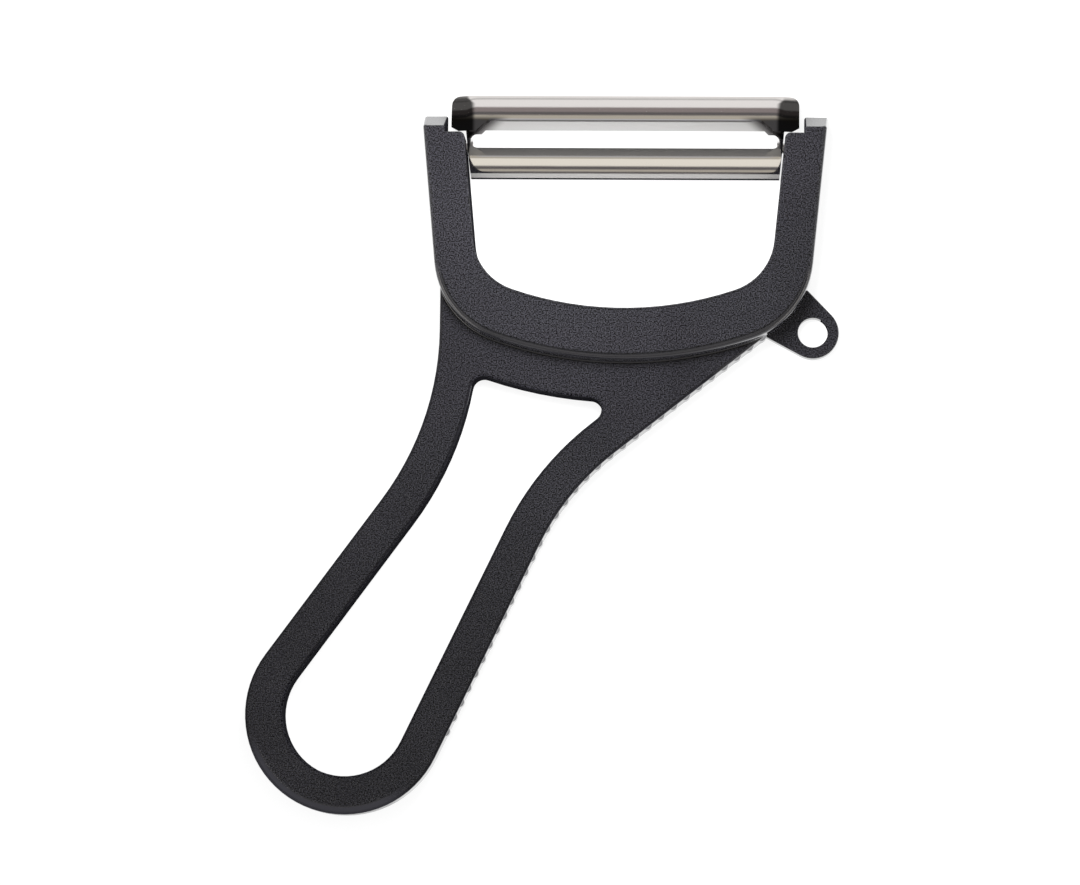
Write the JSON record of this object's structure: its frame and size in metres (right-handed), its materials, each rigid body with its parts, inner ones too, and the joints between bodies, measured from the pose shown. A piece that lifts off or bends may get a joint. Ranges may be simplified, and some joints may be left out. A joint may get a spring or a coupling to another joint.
{
  "type": "vegetable peeler",
  "caption": "Y-shaped vegetable peeler with a swivelling slotted steel blade and an open, slanting moulded loop handle.",
  "frame": {"origin": "middle of the box's underside, on the flat back", "axes": "+X to the eyelet's side, +Y towards the blade, +Z out of the front face"},
  "size_m": [0.0914, 0.1128, 0.0072],
  "materials": {
    "moulded_black": "fine moulded grain on the faces, smooth side walls",
    "blade_steel": "polished pressed stainless steel, matt where it is ground",
    "pin_steel": "plain turned steel"
  },
  "bodies": {
    "handle_body": {"handle": "moulded_black"},
    "blade_body": {"blade": "blade_steel", "pivot_pin_left": "pin_steel", "pivot_pin_right": "pin_steel"}
  },
  "joints": [
    {"name": "blade_swivel", "type": "hinge", "parent": "handle_body", "child": "blade_body", "pos_m": [0.01213, 0.04811, 0.0036], "axis": [1, 0, 0], "range_deg": [-35, 10]}
  ]
}
